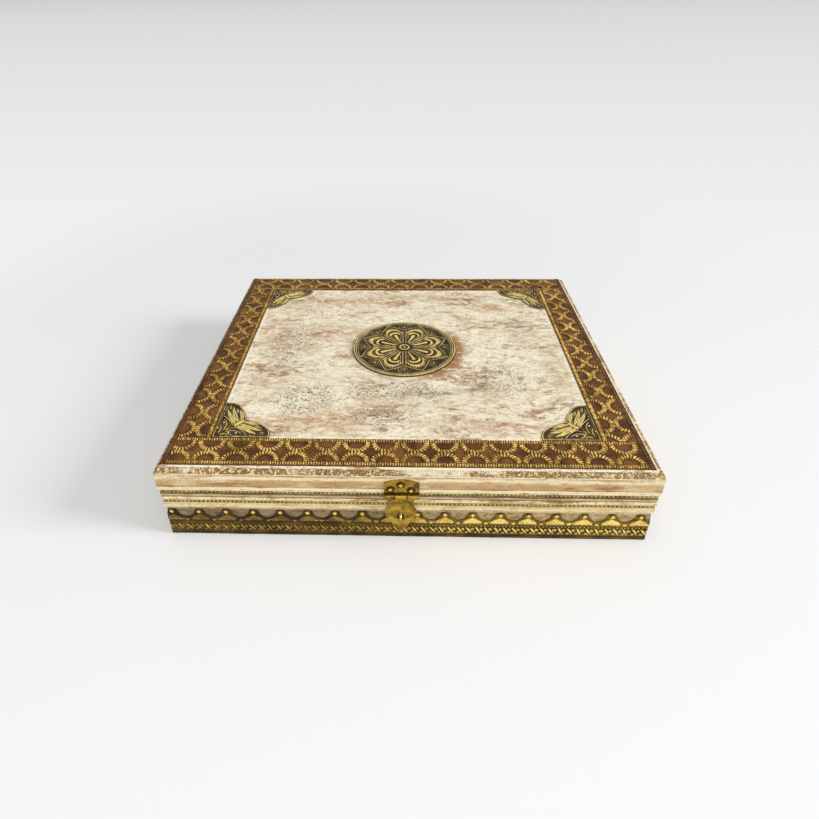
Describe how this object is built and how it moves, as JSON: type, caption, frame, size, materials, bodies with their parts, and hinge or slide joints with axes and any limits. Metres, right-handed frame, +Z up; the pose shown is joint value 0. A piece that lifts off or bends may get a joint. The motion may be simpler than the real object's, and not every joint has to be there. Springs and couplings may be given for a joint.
{
  "type": "hinged keepsake and paint box",
  "caption": "Flat rectangular wooden box with a hinged lid, embossed brass trim, a swinging hasp and a cross-lapped divider grid inside.",
  "frame": {"origin": "middle of the underside, on the surface that the box stands on", "axes": "+Z up, -Y towards the front with the hasp, +X to the right seen from the front"},
  "size_m": [0.305, 0.2812, 0.0573],
  "materials": {
    "painted_wood": "whitewash rubbed through to brown wood, streaked along the length",
    "inner_wood": "stained and waxed, satin",
    "band_brass": "stamped thin brass with dark patina in the hollows",
    "dark_brass": "beaded brass ribbon, dark olive patina",
    "copper_brass": "embossed sheet with copper-brown ground and gold beads",
    "black_brass": "embossed brass, blackened ground, rubbed bright on the relief",
    "hasp_brass": "aged olive-gold brass, worn"
  },
  "bodies": {
    "base": {"base_floor": "inner_wood", "base_rail_front": "painted_wood", "base_ribbon_front": "dark_brass", "base_band_front": "band_brass", "band_nails_front": "band_brass", "base_rail_right": "painted_wood", "base_ribbon_right": "dark_brass", "base_band_right": "band_brass", "band_nails_right": "band_brass", "base_rail_back": "painted_wood", "base_ribbon_back": "dark_brass", "base_band_back": "band_brass", "band_nails_back": "band_brass", "base_rail_left": "painted_wood", "base_ribbon_left": "dark_brass", "base_band_left": "band_brass", "band_nails_left": "band_brass", "divider_front": "inner_wood", "divider_back": "inner_wood", "divider_left": "inner_wood", "divider_middle": "inner_wood", "divider_right": "inner_wood", "hasp_staple": "hasp_brass", "hinge_left_base_leaf": "hasp_brass", "hinge_left_pin": "hasp_brass", "hinge_right_base_leaf": "hasp_brass", "hinge_right_pin": "hasp_brass", "hinge_nails_base": "hasp_brass"},
    "lid": {"lid_board": "painted_wood", "lid_rail_front": "painted_wood", "lid_ribbon_front": "dark_brass", "lid_strip_front": "copper_brass", "lid_rail_right": "painted_wood", "lid_ribbon_right": "dark_brass", "lid_strip_right": "copper_brass", "lid_rail_back": "painted_wood", "lid_ribbon_back": "dark_brass", "lid_strip_back": "copper_brass", "lid_rail_left": "painted_wood", "lid_ribbon_left": "dark_brass", "lid_strip_left": "copper_brass", "lid_ornament_front_left": "black_brass", "lid_ornament_front_right": "black_brass", "lid_ornament_back_right": "black_brass", "lid_ornament_back_left": "black_brass", "lid_medallion": "black_brass", "hasp_plate": "hasp_brass", "hasp_pin": "hasp_brass", "hasp_nails": "hasp_brass", "hinge_left_lid_leaf": "hasp_brass", "hinge_right_lid_leaf": "hasp_brass", "hinge_nails_lid": "hasp_brass"},
    "hasp": {"hasp_leaf": "hasp_brass"}
  },
  "joints": [
    {"name": "lid_hinge", "type": "hinge", "parent": "base", "child": "lid", "pos_m": [0, 0.1383, 0.0338], "axis": [-1, 0, 0], "range_deg": [0, 180]},
    {"name": "hasp_swing", "type": "hinge", "parent": "lid", "child": "hasp", "pos_m": [-0.0032, -0.1377, 0.03825], "axis": [-1, 0, 0], "range_deg": [0, 175]}
  ]
}
